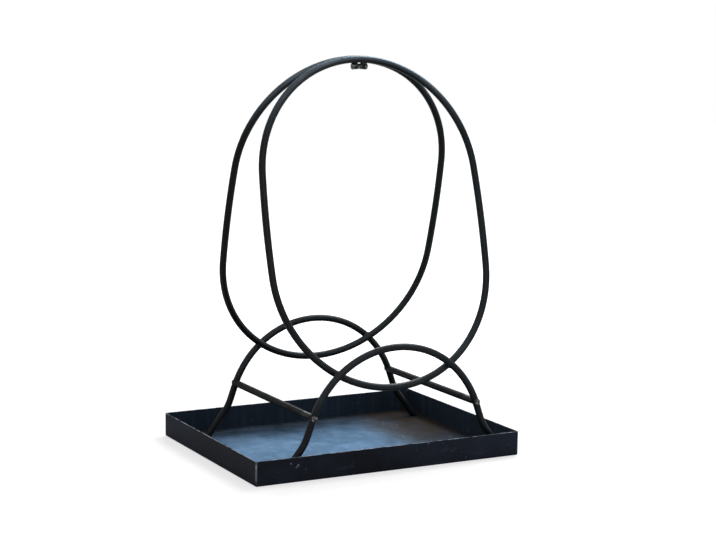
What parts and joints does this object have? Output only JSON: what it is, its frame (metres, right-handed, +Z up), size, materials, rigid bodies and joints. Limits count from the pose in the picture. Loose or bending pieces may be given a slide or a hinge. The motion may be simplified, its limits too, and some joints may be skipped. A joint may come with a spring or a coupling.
{
  "type": "round log holder",
  "caption": "Round firewood rack of two leaning bar hoops on arched legs, standing loose in a low sheet tray.",
  "frame": {"origin": "middle of the tray's underside", "axes": "+X along the tray's long side, to the right in the picture; +Y to the back; +Z up"},
  "size_m": [0.5, 0.39, 0.6835],
  "materials": {
    "bar_steel": "satin black paint on round bar",
    "tray_steel": "satin blue-black sheet with light scuffs",
    "fastener_steel": "blackened bolts and nut, worn bright on their high spots",
    "weld_metal": "painted weld, rippled"
  },
  "bodies": {
    "tray": {"tray_pan": "tray_steel", "tray_corner_welds": "weld_metal"},
    "rack": {"front_hoop": "bar_steel", "back_hoop": "bar_steel", "front_leg_arch": "bar_steel", "back_leg_arch": "bar_steel", "left_stretcher": "bar_steel", "right_stretcher": "bar_steel", "front_hinge_lug": "bar_steel", "back_hinge_lug": "bar_steel", "front_stretcher_bolts": "fastener_steel", "back_stretcher_bolts": "fastener_steel", "hinge_bolt": "fastener_steel", "hinge_nut": "fastener_steel", "hinge_spacer": "fastener_steel", "front_crossing_welds": "weld_metal", "back_crossing_welds": "weld_metal", "hinge_lug_welds": "weld_metal"}
  },
  "joints": [
    {"name": "rack_lift", "type": "slide", "parent": "tray", "child": "rack", "axis": [0, 0, 1], "range_m": [0, 0.15]}
  ]
}
